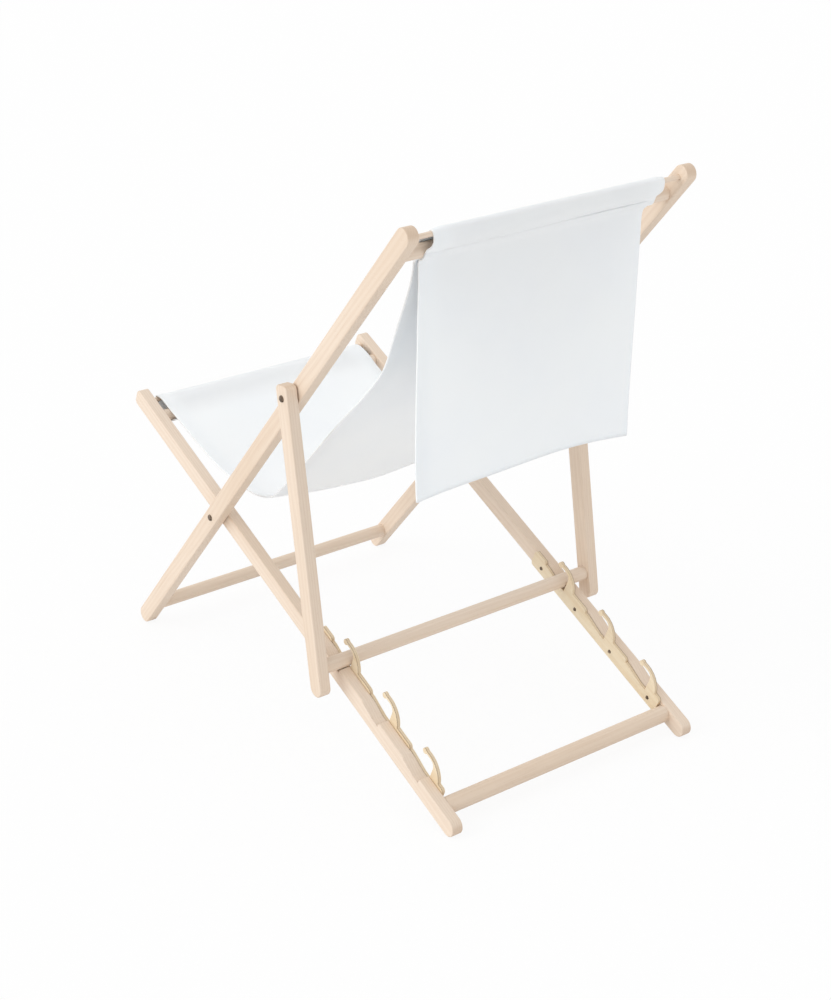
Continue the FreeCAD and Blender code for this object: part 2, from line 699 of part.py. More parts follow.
def buildBackSling():
    """Canvas of the back frame: the loop round head bar and rod, and the strip down to the seat."""
    bar = size("slingBarDiameter") / 2 + size("restGap") + size("clothThickness") / 2
    centre = backFrame.point(value(HEAD_BAR_AT))
    seam = centre + downForward("seamAngle") * bar
    end = splitPlace + splitLine * (size("slingSplitGap") / 2)
    poles = [seam, seam - Vector(0, size("headLeadForward"), size("headLeadDown")), end + splitLead, end]
    shape = hemLoop(value(HEAD_BAR_AT), value(HEAD_ROD_AT)).fuse(canvasStrip(backFrame, poles))
    addCanvas("sling_back", backFrame, shape)


def buildSeatSling():
    """Canvas of the seat frame: the loop round front bar and rod, and the strip back to the split."""
    bar = size("slingBarDiameter") / 2 + size("restGap") + size("clothThickness") / 2
    seam = seatFrame.point(-value(FRONT_BAR_AT), bar)
    end = splitPlace - splitLine * (size("slingSplitGap") / 2)
    poles = [seam, seam + Vector(0, size("frontLeadBack"), -size("frontLeadDown")),
             end - splitLine * size("splitLeadFront"), end]
    shape = hemLoop(-value(FRONT_BAR_AT), -value(FRONT_ROD_AT)).fuse(canvasStrip(seatFrame, poles))
    addCanvas("sling_seat", seatFrame, shape)


def buildFlap():
    """Free end of the canvas, hanging from the seam under the head bar."""
    reach = size("slingBarDiameter") / 2 + 2 * size("restGap") + 1.5 * size("clothThickness")
    seam = backFrame.point(value(HEAD_BAR_AT)) + downForward("flapSeamAngle") * reach
    hang = SideFrame(seam.y, seam.z, math.radians(-90 - size("flapAngle")))
    panel = doc.addObject("Part::Box", "rear_flap_panel")
    panel.setExpression("Length", cells("{flapLength}"))
    panel.setExpression("Width", cells("{clothThickness}"))
    panel.setExpression("Height", cells("{clothWidth}"))
    panel.Placement = hang.placement(-size("clothWidth") / 2, 0, -size("clothThickness") / 2)
    hem = doc.addObject("Part::Cylinder", "rear_flap_hem")
    hem.setExpression("Radius", cells("{clothThickness} / 2"))
    hem.setExpression("Height", cells("{clothWidth}"))
    hem.Placement = hang.placement(-size("clothWidth") / 2)
    flap = doc.addObject("Part::Fuse", "rear_flap")
    flap.Label = "rear_flap"
    flap.Base = panel
    flap.Tool = hem
    pieces.append(flap)
    print("flap seam", seam)


def buildSide(side):
    """Everything that stands once on each side."""
    left = side == "left"
    buildBackRail("back_rail_" + side, left)
    buildSeatRail("seat_rail_" + side, left)
    buildPropLeg("prop_leg_" + side, left)
    buildComb("rack_comb_" + side, left)
    buildScrews("comb_screws_" + side, left)
    buildBolt("main_pivot_bolt_" + side, seatFrame, 0, backOuter, left)
    buildWasher("main_pivot_washer_" + side, seatFrame, 0, seatOuter, left)
    buildNut("main_pivot_nut_" + side, seatFrame, 0, seatInner, left)
    propAt = size("propPivotAt")
    buildBolt("prop_pivot_bolt_" + side, backFrame, propAt, size("overallWidth") / 2, left)
    buildWasher("prop_pivot_washer_" + side, backFrame, propAt, backOuter, left)
    buildNut("prop_pivot_nut_" + side, backFrame, propAt, backInner, left)


def buildBars():
    """Round bars and rods across the chair."""
    buildBar("head_bar", "{slingBarDiameter}", BACK_INNER, backFrame, value(HEAD_BAR_AT))
    buildRod("head_rod", BACK_INNER, backFrame, value(HEAD_ROD_AT))
    buildBar("front_foot_crossbar", "{footBarDiameter}", BACK_INNER, backFrame, -value(FOOT_BAR_AT))
    buildBar("front_bar", "{slingBarDiameter}", SEAT_INNER, seatFrame, -value(FRONT_BAR_AT))
    buildRod("front_rod", SEAT_INNER, seatFrame, -value(FRONT_ROD_AT))
    buildBar("rear_crossbar", "{rearBarDiameter}", SEAT_INNER, seatFrame, value(REAR_BAR_AT))
    buildBar("prop_crossbar", "{propBarDiameter}", PROP_INNER, propFrame, size("propBarAt"))


def exportPieces():
    """Check every object and write each piece to its own file."""
    doc.recompute()
    for item in doc.Objects:
        if "Invalid" in item.State or "Error" in item.State:
            raise RuntimeError("%s is %s" % (item.Label, item.State))
    for piece in pieces:
        if piece.Shape.isNull() or not piece.Shape.isValid():
            raise RuntimeError("%s has no valid shape" % piece.Label)
    os.makedirs("parts", exist_ok=True)
    for piece in pieces:
        piece.Shape.exportStep("parts/%s.step" % piece.Label)
        print("%-24s %d solids %12.1f mm3" % (piece.Label, len(piece.Shape.Solids), piece.Shape.Volume))


for side in ("left", "right"):
    buildSide(side)
buildBars()
buildBackSling()
buildSeatSling()
buildFlap()
exportPieces()
degrees = [round(math.degrees(angle), 3) for angle in (backAngle, seatAngle, propAngle, opening)]
print("back, seat, prop and opening angles", degrees)
print("main pivot", backFrame.point(0), "prop pivot", propPivot, "prop crossbar", propBar)
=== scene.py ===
import math

import bpy
from mathutils import Matrix, Vector


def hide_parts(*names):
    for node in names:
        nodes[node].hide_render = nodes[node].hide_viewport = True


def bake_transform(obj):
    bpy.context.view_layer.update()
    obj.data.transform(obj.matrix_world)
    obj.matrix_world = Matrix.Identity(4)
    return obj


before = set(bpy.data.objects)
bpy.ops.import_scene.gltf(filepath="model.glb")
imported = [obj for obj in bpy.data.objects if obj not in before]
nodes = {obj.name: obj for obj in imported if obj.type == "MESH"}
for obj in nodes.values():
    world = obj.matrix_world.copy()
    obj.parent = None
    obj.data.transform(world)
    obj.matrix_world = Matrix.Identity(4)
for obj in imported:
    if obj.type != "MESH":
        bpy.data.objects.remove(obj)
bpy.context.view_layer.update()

print("frame loaded,", len(nodes), "solid pieces")


# camera, fitted to the edges of the rails in the photograph

cameraSetup = {
    "place": (1.79581, 2.54400, 1.75049),
    "back": (0.55338, 0.74494, 0.37260),  # from the chair towards the camera
    "roll": -0.676,  # degrees
    "lens": 72.80,
    "sensorWidth": 36,
    "shift": (-0.0297, -0.0939),
    "clipEnd": 200,
}


def makeCamera(setup):
    data = bpy.data.cameras.new("camera")
    data.lens = setup["lens"]
    data.sensor_width = setup["sensorWidth"]
    data.shift_x, data.shift_y = setup["shift"]
    data.clip_end = setup["clipEnd"]
    camera = bpy.data.objects.new("camera", data)
    bpy.context.scene.collection.objects.link(camera)
    back = Vector(setup["back"]).normalized()
    level = Vector((0, 0, 1)).cross(back).normalized()
    upright = back.cross(level)
    turn = math.radians(setup["roll"])
    right = level * math.cos(turn) + upright * math.sin(turn)
    up = upright * math.cos(turn) - level * math.sin(turn)
    pose = Matrix((right, up, back)).transposed().to_4x4()
    pose.translation = Vector(setup["place"])
    camera.matrix_world = pose
    bpy.context.scene.camera = camera


makeCamera(cameraSetup)
print("camera placed")


# shader maths: an expression on a Value adds its Math nodes

class Value:
    def __init__(self, shader, output):
        self.shader = shader
        self.output = output

    def maths(self, operation, *values):
        return self.shader.node("ShaderNodeMath", {"operation": operation}, dict(enumerate(values)))

    def __add__(self, other):
        return self.maths("ADD", self, other)

    def __radd__(self, other):
        return self.maths("ADD", other, self)

    def __sub__(self, other):
        return self.maths("SUBTRACT", self, other)

    def __rsub__(self, other):
        return self.maths("SUBTRACT", other, self)

    def __mul__(self, other):
        return self.maths("MULTIPLY", self, other)

    def __rmul__(self, other):
        return self.maths("MULTIPLY", other, self)

    def __truediv__(self, other):
        return self.maths("DIVIDE", self, other)

    def __rtruediv__(self, other):
        return self.maths("DIVIDE", other, self)

    def __abs__(self):
        return self.maths("ABSOLUTE", self)

    def __mod__(self, other):
        return self.maths("FLOORED_MODULO", self, other)

    def __gt__(self, other):
        return self.maths("GREATER_THAN", self, other)

    def __lt__(self, other):
        return self.maths("LESS_THAN", self, other)

    def sine(self):
        return self.maths("SINE", self)

    def most(self, other):
        return self.maths("MAXIMUM", self, other)

    def ramp(self, low, high):
        # from 0 at low to 1 at high, smoothly
        return self.shader.node("ShaderNodeMapRange", {"interpolation_type": "SMOOTHSTEP"}, {
            "Value": self, "From Min": low, "From Max": high})


class Shader:
    def __init__(self, tree):
        self.tree = tree

    def feed(self, socket, value):
        if isinstance(value, Value):
            self.tree.links.new(value.output, socket)
        elif socket.type == "RGBA" and len(value) == 3:
            socket.default_value = (*value, 1)
        else:
            socket.default_value = value

    def node(self, kind, settings=None, sockets=None, output=0):
        made = self.tree.nodes.new(kind)
        for name, setting in (settings or {}).items():
            setattr(made, name, setting)
        for name, value in (sockets or {}).items():
            self.feed(made.inputs[name], value)
        return Value(self, made.outputs[output])

    def seenBy(self, *rays):
        # 1 where one of these kinds of ray meets the surface
        seen = self.node("ShaderNodeLightPath", output="Is %s Ray" % rays[0])
        return seen.most(self.seenBy(*rays[1:])) if rays[1:] else seen


class Finish(Shader):
    def __init__(self, name, metallic=0.0):
        self.material = bpy.data.materials.new(name)
        self.material.use_nodes = True
        super().__init__(self.material.node_tree)
        self.surface = self.tree.nodes["Principled BSDF"]
        self.ending = self.tree.nodes["Material Output"]
        self.surface.inputs["Metallic"].default_value = metallic

    def blendColours(self, factor, one, two):
        return self.node("ShaderNodeMix", {"data_type": "RGBA"}, {0: factor, 6: one, 7: two}, 2)

    def place(self, angle=0.0, stretch=(1, 1, 1), shift=(0, 0, 0)):
        spot = self.node("ShaderNodeTexCoord", output="Object")
        turned = self.node("ShaderNodeMapping", sockets={
            "Vector": spot, "Rotation": (math.radians(-angle), 0, 0), "Location": shift})
        return self.stretched(turned, stretch)

    def stretched(self, spot, stretch):
        return self.node("ShaderNodeVectorMath", {"operation": "MULTIPLY"}, {0: spot, 1: stretch})

    def noise(self, spot, detail, roughness=0.5):
        return self.node("ShaderNodeTexNoise", sockets={
            "Vector": spot, "Scale": 1.0, "Detail": detail, "Roughness": roughness}, output="Fac")

    def parts(self, vector):
        return [self.node("ShaderNodeSeparateXYZ", sockets={0: vector}, output=axis)
                for axis in range(3)]

    def bump(self, height, distance, strength, normal=None):
        sockets = {"Height": height, "Distance": distance, "Strength": strength}
        if normal:
            sockets["Normal"] = normal
        return self.node("ShaderNodeBump", sockets=sockets)

    def wear(self, **sockets):
        # a socket's name with _ for its spaces
        for name, value in sockets.items():
            self.feed(self.surface.inputs[name.replace("_", " ")], value)
        return self.material


# floor and light

studio = {
    "floorSize": 80,
    "floorColour": (0.92, 0.92, 0.92),
    "floorRoughness": 0.9,
    "shadowShare": 0.10,  # how much of the floor's own shading the camera sees
    "skyStrength": 0.88,  # as a light; the camera sees it white
    "sunStrength": 1.0,
    "sunSoftness": 50,  # degrees
    "sunTowards": (-0.78, 0.28, -0.42),
}


def makeStudio(setup):
    bpy.ops.object.select_all(action="DESELECT")
    bpy.ops.mesh.primitive_plane_add(size=setup["floorSize"])
    floor = bpy.context.object
    floor.name = "floor"
    finish = Finish("floor_white")
    finish.surface.inputs["Specular IOR Level"].default_value = 0
    finish.wear(Base_Color=setup["floorColour"], Roughness=setup["floorRoughness"])
    seen = finish.seenBy("Camera", "Glossy", "Transmission")
    glow = finish.node("ShaderNodeEmission", sockets={"Color": (1, 1, 1), "Strength": 1.0})
    shaded = Value(finish, finish.surface.outputs["BSDF"])
    mixed = finish.node("ShaderNodeMixShader", sockets={
        0: seen * (1 - setup["shadowShare"]), 1: shaded, 2: glow})
    finish.feed(finish.ending.inputs["Surface"], mixed)
    floor.data.materials.append(finish.material)

    world = bpy.data.worlds.new("studio")
    bpy.context.scene.world = world
    world.use_nodes = True
    sky = Shader(world.node_tree)
    background = sky.tree.nodes["Background"]
    background.inputs["Color"].default_value = (1, 1, 1, 1)
    strength = setup["skyStrength"]
    seenWhite = sky.seenBy("Camera", "Glossy") * (1 - strength) + strength
    sky.feed(background.inputs["Strength"], seenWhite)

    sun = bpy.data.lights.new("sun", "SUN")
    sun.energy = setup["sunStrength"]
    sun.angle = math.radians(setup["sunSoftness"])
    lamp = bpy.data.objects.new("sun", sun)
    bpy.context.scene.collection.objects.link(lamp)
    lamp.rotation_mode = "QUATERNION"
    lamp.rotation_quaternion = Vector(setup["sunTowards"]).to_track_quat("-Z", "Y")
    bpy.context.scene.view_settings.view_transform = "Standard"


makeStudio(studio)
print("floor and light made")


# beech, plywood and steel

beech = {
    "pale": (0.828, 0.694, 0.568),
    "warm": (0.765, 0.618, 0.482),
    "streak": (0.600, 0.420, 0.285),
    "fleck": (0.380, 0.220, 0.125),
    "endGrain": (0.560, 0.395, 0.270),
    "ringSlope": 0.45,  # the rings' tilt against the face
    "ringTurns": 1500,
    "ringWander": 26,
    "ringShare": 0.16,
    "streakShare": 0.30,
    "fleckShare": 0.42,
    "endShare": 0.42,
    "roughness": 0.47,
    "reliefDepth": 0.00018,  # metres
    "reliefShare": 0.55,
    "edgeRound": 0.0016,  # metres
}


def beechFinish(name, angle, across, setup=beech):
    # along the grain the pattern is stretched; bars that lie across the chair have it along X
    wood = Finish(name)
    along = 0 if across else 1

    def grain(lengthwise, crosswise, shift=(0, 0, 0)):
        stretch = [crosswise] * 3
        stretch[along] = lengthwise
        return wood.place(angle, tuple(stretch), shift)

    tone = wood.noise(grain(1.3, 11), detail=2)
    wander = wood.noise(grain(2.5, 18, (0.3, 0.1, 0.7)), detail=2)
    x, y, z = wood.parts(wood.place(angle))
    acrossPlace = (y if across else x) + z * setup["ringSlope"]
    rings = (acrossPlace * setup["ringTurns"] + wander * setup["ringWander"]).sine() * 0.5 + 0.5
    streaks = wood.noise(grain(9, 520), detail=3, roughness=0.6)
    pores = wood.noise(grain(42, 1500, (0.2, 0, 0)), detail=2, roughness=0.55)
    dashes = wood.node("ShaderNodeTexVoronoi", {"feature": "F1"}, {
        "Vector": grain(85, 620, (0.05, 0.4, 0.2)), "Scale": 1.0, "Randomness": 1.0}, "Distance")
    sparse = wood.noise(grain(30, 60, (0.8, 0.2, 0)), detail=1)
    flecks = dashes.ramp(0.16, 0.05) * sparse.ramp(0.44, 0.60)

    colour = wood.blendColours(tone.ramp(0.35, 0.68), setup["pale"], setup["warm"])
    colour = wood.blendColours(rings * setup["ringShare"], colour, setup["streak"])
    streaked = streaks.ramp(0.52, 0.78) * setup["streakShare"]
    colour = wood.blendColours(streaked, colour, setup["streak"])
    colour = wood.blendColours(flecks * setup["fleckShare"], colour, setup["fleck"])

    facing = wood.node("ShaderNodeTexCoord", output="Normal")
    turned = wood.node("ShaderNodeMapping", {"vector_type": "NORMAL"}, {
        "Vector": facing, "Rotation": (math.radians(-angle), 0, 0)})
    cut = abs(wood.parts(turned)[along])
    endGrain = cut.ramp(0.45, 0.95)
    colour = wood.blendColours(endGrain * setup["endShare"], colour, setup["endGrain"])

    height = streaks * 0.6 + pores * 0.5 - flecks * 0.7
    rounded = wood.node("ShaderNodeBevel", {"samples": 4}, {"Radius": setup["edgeRound"]})
    normal = wood.bump(height, setup["reliefDepth"], setup["reliefShare"], rounded)
    roughness = setup["roughness"] + streaks * 0.10 + endGrain * 0.12
    return wood.wear(Base_Color=colour, Roughness=roughness, Normal=normal)


plywood = {
    "face": (0.835, 0.710, 0.520),
    "darkFace": (0.770, 0.620, 0.420),
    "darkPly": (0.500, 0.330, 0.180),
    # painted shade: a dark band along the plate's face next to the rail stands in for the shadow in
    # the gap between plate and rail
    "joint": (0.170, 0.100, 0.055),
    "gapShadowWidth": 0.0007,
    "plies": 5,
    "thickness": 0.006,
    "inner": 0.220,  # distance of the plate's inner face from the middle of the chair
    "streakShare": 0.35,
    "plyShare": 0.50,
    "gapShadowShare": 0.90,
    "roughness": 0.55,
    "reliefDepth": 0.00015,
    "reliefShare": 0.5,
}


def plywoodFinish(name, angle, setup=plywood):
    board = Finish(name)
    tone = board.noise(board.place(angle, (300, 5, 90)), detail=3)
    streaks = board.noise(board.place(angle, (700, 12, 900)), detail=2)
    sideways = abs(board.parts(board.place(angle))[0])
    layer = (sideways - setup["inner"]) * (setup["plies"] / setup["thickness"])
    dark = (layer % 2.0) > 1.0  # every other ply
    # painted shade: the outermost part of the plate, against the rail, is darkened as the gap's
    # shadow
    joint = sideways > setup["inner"] + setup["thickness"] - setup["gapShadowWidth"]
    facing = board.node("ShaderNodeTexCoord", output="Normal")
    edge = abs(board.parts(facing)[0]).ramp(0.8, 0.4)
    colour = board.blendColours(tone.ramp(0.35, 0.7), setup["face"], setup["darkFace"])
    streaked = streaks.ramp(0.55, 0.8) * setup["streakShare"]
    colour = board.blendColours(streaked, colour, setup["darkPly"])
    colour = board.blendColours(dark * edge * setup["plyShare"], colour, setup["darkPly"])
    colour = board.blendColours(joint * edge * setup["gapShadowShare"], colour, setup["joint"])
    height = streaks * 0.5 - dark * edge * 0.5
    normal = board.bump(height, setup["reliefDepth"], setup["reliefShare"])
    roughness = setup["roughness"] + streaks * 0.12
    return board.wear(Base_Color=colour, Roughness=roughness, Normal=normal)


steel = {
    "dark": (0.105, 0.070, 0.045),
    "worn": (0.330, 0.260, 0.200),
    "metallic": 0.6,
    "roughness": 0.34,
    "reliefDepth": 0.00008,
    "reliefShare": 0.4,
}


def steelFinish(name, setup=steel):
    metal = Finish(name, setup["metallic"])
    spots = metal.noise(metal.place(stretch=(240, 240, 240)), detail=4, roughness=0.6)
    brushed = metal.noise(metal.place(stretch=(300, 2600, 2600)), detail=2)
    colour = metal.blendColours(spots.ramp(0.42, 0.72), setup["dark"], setup["worn"])
    normal = metal.bump(spots * 0.7 + brushed * 0.3, setup["reliefDepth"], setup["reliefShare"])
    roughness = setup["roughness"] + spots * 0.22
    return metal.wear(Base_Color=colour, Roughness=roughness, Normal=normal)


# degrees above level, seen from the side
frameAngles = {"back": 47.655, "seat": -24.973, "prop": -82.562}
railWood = {part: beechFinish("beech_" + part, angle, False)
            for part, angle in frameAngles.items()}
barWood = beechFinish("beech_bars", 0.0, True)
combBoard = plywoodFinish("comb_plywood", frameAngles["seat"])
boltSteel = steelFinish("bolt_steel_dark")
screwSteel = steelFinish("screw_steel_dark")

finishOf = {
    "back_rail": railWood["back"], "seat_rail": railWood["seat"], "prop_leg": railWood["prop"],
    "rack_comb": combBoard, "comb_screws": screwSteel,
    "main_pivot": boltSteel, "prop_pivot": boltSteel,
    "head_bar": barWood, "head_rod": barWood, "front_foot_crossbar": barWood, "front_bar": barWood,
    "front_rod": barWood, "rear_crossbar": barWood, "prop_crossbar": barWood,
}
for name, node in nodes.items():
    for start, material in finishOf.items():
        if name.startswith(start):
            node.data.materials.clear()
            node.data.materials.append(material)
print("wood and steel finished")


# canvas

canvas = {
    "white": (0.882, 0.908, 0.942),
    "shade": (0.828, 0.859, 0.901),
    "thread": 0.0009,  # metres from thread to thread
    "hemWidth": 0.016,
    "stitchFromEdge": 0.0125,
    "stitchLength": 0.0034,
    "stitchShare": 0.72,  # of each stitch's length that shows as thread
    "stitchHalf": 0.0007,  # half the width of a row
    "stitchColour": (0.93, 0.93, 0.93),
    "halfWidth": 0.215,
    "thickness": 0.0012,
    "hemThickness": 0.0022,
    "lightReach": 0.0016,  # how far light travels inside the cloth
    "shine": 0.25,
    "roughness": 0.82,
    "reliefDepth": 0.0002,
    "reliefShare": 0.45,
    "columnStep": 0.0165,
    "columnsPerSide": 11,
    "smoothness": 1,
}


def canvasFinish(name, rows, setup=canvas):
    # rows: places along the cloth where a seam runs across it
    cloth = Finish(name)
    cloth.surface.inputs["Specular IOR Level"].default_value = setup["shine"]
    cloth.surface.inputs["Subsurface Weight"].default_value = 1.0  # thin canvas lets light through
    cloth.surface.inputs["Subsurface Radius"].default_value = (1, 1, 1)
    cloth.surface.inputs["Subsurface Scale"].default_value = setup["lightReach"]
    flat = cloth.node("ShaderNodeUVMap", {"uv_map": "clothMap"})
    u, v = cloth.parts(flat)[:2]
    turn = math.pi / setup["thread"]
    weave = (u * turn).sine() * (v * turn).sine()
    slubs = cloth.noise(cloth.stretched(flat, (1400, 60, 1)), detail=2)
    slubsAcross = cloth.noise(cloth.stretched(flat, (60, 1400, 1)), detail=2)
    soft = cloth.noise(cloth.stretched(flat, (7, 7, 1)), detail=3)
    fromEdge = setup["halfWidth"] - abs(u)
    long, half = setup["stitchLength"], setup["stitchHalf"]
    thread = long * setup["stitchShare"]
    stitch = (abs(fromEdge - setup["stitchFromEdge"]) < half) * ((v % long) < thread)
    for row in rows:
        stitch = stitch.most((abs(v - row) < half) * ((u % long) < thread))
    colour = cloth.blendColours(soft.ramp(0.3, 0.75) * 0.35, setup["white"], setup["shade"])
    colour = cloth.blendColours(weave.ramp(0.1, 0.9) * 0.22, colour, setup["shade"])
    colour = cloth.blendColours(stitch * 0.25, colour, setup["stitchColour"])
    height = weave * 0.35 + slubs * 0.5 + slubsAcross * 0.5 + stitch * 1.2
    normal = cloth.bump(height, setup["reliefDepth"], setup["reliefShare"])
    roughness = setup["roughness"] + soft * 0.1
    return cloth.wear(Base_Color=colour, Roughness=roughness, Normal=normal)


def roundBar(centre, radius, start, end, count):
    # places on a circle in the side view, angles in degrees from the rear, turning upwards
    places = []
    for index in range(count + 1):
        turn = math.radians(start + (end - start) * index / count)
        places.append((centre[0] + radius * math.cos(turn), centre[1] + radius * math.sin(turn)))
    return places


def smoothLine(points, step, ease=0.9):
    # even steps along a smooth curve through the points; a larger ease swings farther out
    places = []
    for index in range(len(points) - 1):
        before = Vector(points[max(index - 1, 0)])
        one, two = Vector(points[index]), Vector(points[index + 1])
        after = Vector(points[min(index + 2, len(points) - 1)])
        count = max(1, round((two - one).length / step))
        swing = (two - one).length * ease
        leadOne = (two - before).normalized() * swing
        leadTwo = (after - one).normalized() * swing
        for part in range(count):
            t = part / count
            places.append(tuple(
                one * (2 * t**3 - 3 * t**2 + 1) + leadOne * (t**3 - 2 * t**2 + t)
                + two * (3 * t**2 - 2 * t**3) + leadTwo * (t**3 - t**2)))
    places.append(tuple(points[-1]))
    return places


def selectPoints(piece, test):
    # leaves the piece in edit mode, with the points chosen by their place
    bpy.ops.object.mode_set(mode="EDIT")
    bpy.ops.mesh.select_mode(type="VERT")
    bpy.ops.mesh.select_all(action="DESELECT")
    bpy.ops.object.mode_set(mode="OBJECT")
    for vertex in piece.data.vertices:
        vertex.select = test(vertex.co)
    bpy.ops.object.mode_set(mode="EDIT")


def modelStrip(name, path, columns):
    # a strip of cloth: one edge across the chair, extruded along the path and cut into columns
    bpy.ops.object.select_all(action="DESELECT")
    bpy.ops.mesh.primitive_plane_add(size=1, location=(0, 0, 0))
    strip = bpy.context.object
    strip.name = name
    strip.data.name = name
    strip.scale = (2 * canvas["halfWidth"], 1, 1)
    bpy.ops.object.transform_apply(location=False, rotation=False, scale=True)
    selectPoints(strip, lambda spot: spot.y > 0)
    bpy.ops.mesh.delete(type="VERT")
    bpy.ops.mesh.select_all(action="SELECT")
    # the edge left of the plane lies at y = -0.5
    bpy.ops.transform.translate(value=(0, path[0][0] + 0.5, path[0][1]))
    here = path[0]
    for there in path[1:]:
        bpy.ops.mesh.extrude_region_move(
            TRANSFORM_OT_translate={"value": (0, there[0] - here[0], there[1] - here[1])})
        here = there
    for column in columns:
        bpy.ops.mesh.select_all(action="SELECT")
        bpy.ops.mesh.bisect(plane_co=(column, 0, 0), plane_no=(1, 0, 0))
    bpy.ops.mesh.select_all(action="SELECT")
    bpy.ops.mesh.normals_make_consistent(inside=False)
    bpy.ops.object.mode_set(mode="OBJECT")
    return strip


def mapCloth(strip, path):
    # UV in metres: across the cloth, and along its length
    lengths = {}
    total = 0.0
    for index, place in enumerate(path):
        if index:
            total += math.dist(place, path[index - 1])
        lengths[(round(place[0], 5), round(place[1], 5))] = total
    layer = strip.data.uv_layers.new(name="clothMap")
    for loop in strip.data.loops:
        spot = strip.data.vertices[loop.vertex_index].co
        layer.data[loop.index].uv = (spot.x, lengths[(round(spot.y, 5), round(spot.z, 5))])
    return total


def clothColumns():
    # evenly across, and closer together at the edges and at the hems' steps
    half, hem = canvas["halfWidth"], canvas["hemWidth"]
    count = canvas["columnsPerSide"]
    inner = [index * canvas["columnStep"] for index in range(-count, count + 1)]
    edges = [half - 0.002, half - hem * 0.5, half - hem + 0.001, half - hem]
    return sorted(inner + edges + [-edge for edge in edges])


def finishCloth(strip, material, hemTop=0.0):
    # hemTop: the cloth below this height is folded double, as its long edges are
    bpy.context.view_layer.objects.active = strip
    softer = strip.modifiers.new("softer", "SUBSURF")
    softer.levels = softer.render_levels = canvas["smoothness"]
    hem = strip.vertex_groups.new(name="hem")
    hemEdge = canvas["halfWidth"] - canvas["hemWidth"] - 0.0002
    folded = [vertex.index for vertex in strip.data.vertices
              if abs(vertex.co.x) > hemEdge or vertex.co.z < hemTop]
    hem.add(folded, 1.0, "REPLACE")
    wall = strip.modifiers.new("wall", "SOLIDIFY")
    wall.thickness = canvas["hemThickness"]
    wall.vertex_group = "hem"
    wall.thickness_vertex_group = canvas["thickness"] / canvas["hemThickness"]
    wall.offset = 0
    for modifier in ("softer", "wall"):
        bpy.ops.object.modifier_apply(modifier=modifier)
    bpy.ops.object.shade_smooth()
    strip.data.materials.append(material)


# sling: one length of canvas, looped round the front bar and rod and round the head bar and rod

sling = {
    "frontBar": (-0.4034, 0.4119), "frontRod": (-0.4415, 0.4296),
    "headBar": (0.3596, 0.9019), "headRod": (0.3879, 0.9330),
    "barRadius": 0.0121, "rodRadius": 0.0052, "headTop": 0.0078,  # to the middle of the cloth
    "frontLap": [(-0.3830, 0.4085)],
    "frontUnder": [(-0.4140, 0.3985), (-0.4290, 0.4085)],
    "frontTop": [(-0.4310, 0.4352), (-0.4170, 0.4310), (-0.4030, 0.4260), (-0.3880, 0.4208)],
    "edge": [(-0.3740, 0.4160), (-0.3460, 0.4060), (-0.3060, 0.3910), (-0.2440, 0.3710),
             (-0.1940, 0.3618), (-0.1460, 0.3580), (-0.1090, 0.3600), (-0.0670, 0.3730),
             (-0.0200, 0.4130), (0.1200, 0.5490), (0.2580, 0.6860), (0.2990, 0.7660),
             (0.3340, 0.8400), (0.3430, 0.8680)],
    "headFront": [(0.3655, 0.9258)],
    "headRear": [(0.3973, 0.9270), (0.3958, 0.9185), (0.3918, 0.9125), (0.3862, 0.9083),
                 (0.3795, 0.9051)],
    "headSeam": [(0.3532, 0.8886), (0.3487, 0.8860), (0.3462, 0.8790)],
    "step": 0.016,
    "frontRow": 0.055, "headRow": 0.085,  # seams, from the cloth's front and rear ends
    # at mid-width the seat and the rising part hang lower: middle and reach along the chair
    "sag": 0.023, "seatMiddle": -0.13, "seatReach": 0.24,
    "riseSag": 0.006, "riseDraw": 0.003, "riseMiddle": 0.13, "riseReach": 0.21,
    "ripple": 0.0012,
    # the right front corner hangs behind its bar
    "cornerDroop": 0.008, "cornerWidth": 0.030, "cornerMiddle": -0.355, "cornerReach": 0.045,
    "rodSlack": 0.0015,  # how far the front loop stands off its rod at the left
    "rodReach": 0.030,
    # the head loop: from how far under and behind the middle of the bar it counts as loop, the
    # directions from bar to rod and out to the rear, and the height where it starts to belly
    "loopBelow": 0.006, "loopBehind": 0.012,
    "alongLoop": (0.673, 0.740), "outOfLoop": (0.738, -0.676),
    "bellyFrom": 0.893, "bellyRise": 0.012,
    "loopRipple": 0.0008, "loopSkew": 0.002,
    "onRod": 0.010,  # cloth closer than this to the middle of the rod lies on it
    "pinch": 0.0045, "pinchWidth": 0.022,  # the head loop closes in at its two ends
    "blendStart": (0, -0.26, 0.36), "blendEnd": (0, 0.04, 0.44),
}


def slingPath(setup):
    bar, rod = setup["barRadius"], setup["rodRadius"]
    places = setup["frontLap"] + roundBar(setup["frontBar"], bar, -45, -80, 2)
    places += setup["frontUnder"] + roundBar(setup["frontRod"], rod, -120, -240, 4)
    places += setup["frontTop"] + setup["edge"]
    places += roundBar(setup["headBar"], bar, 180, 140, 2) + setup["headFront"]
    places += roundBar(setup["headRod"], setup["headTop"], 130, 20, 4) + setup["headRear"]
    places += roundBar(setup["headBar"], bar, -15, -90, 3) + setup["headSeam"]
    return smoothLine(places, setup["step"])


def nearness(place, middle, reach):
    # 1 at the middle, falling to 0 at the reach
    return max(0.0, 1 - ((place - middle) / reach) ** 2)


def edgeShare(spot, width):
    # 1 at the cloth's long edges, falling to 0 this far inside them
    return max(0.0, 1 - (canvas["halfWidth"] - abs(spot.x)) / width)


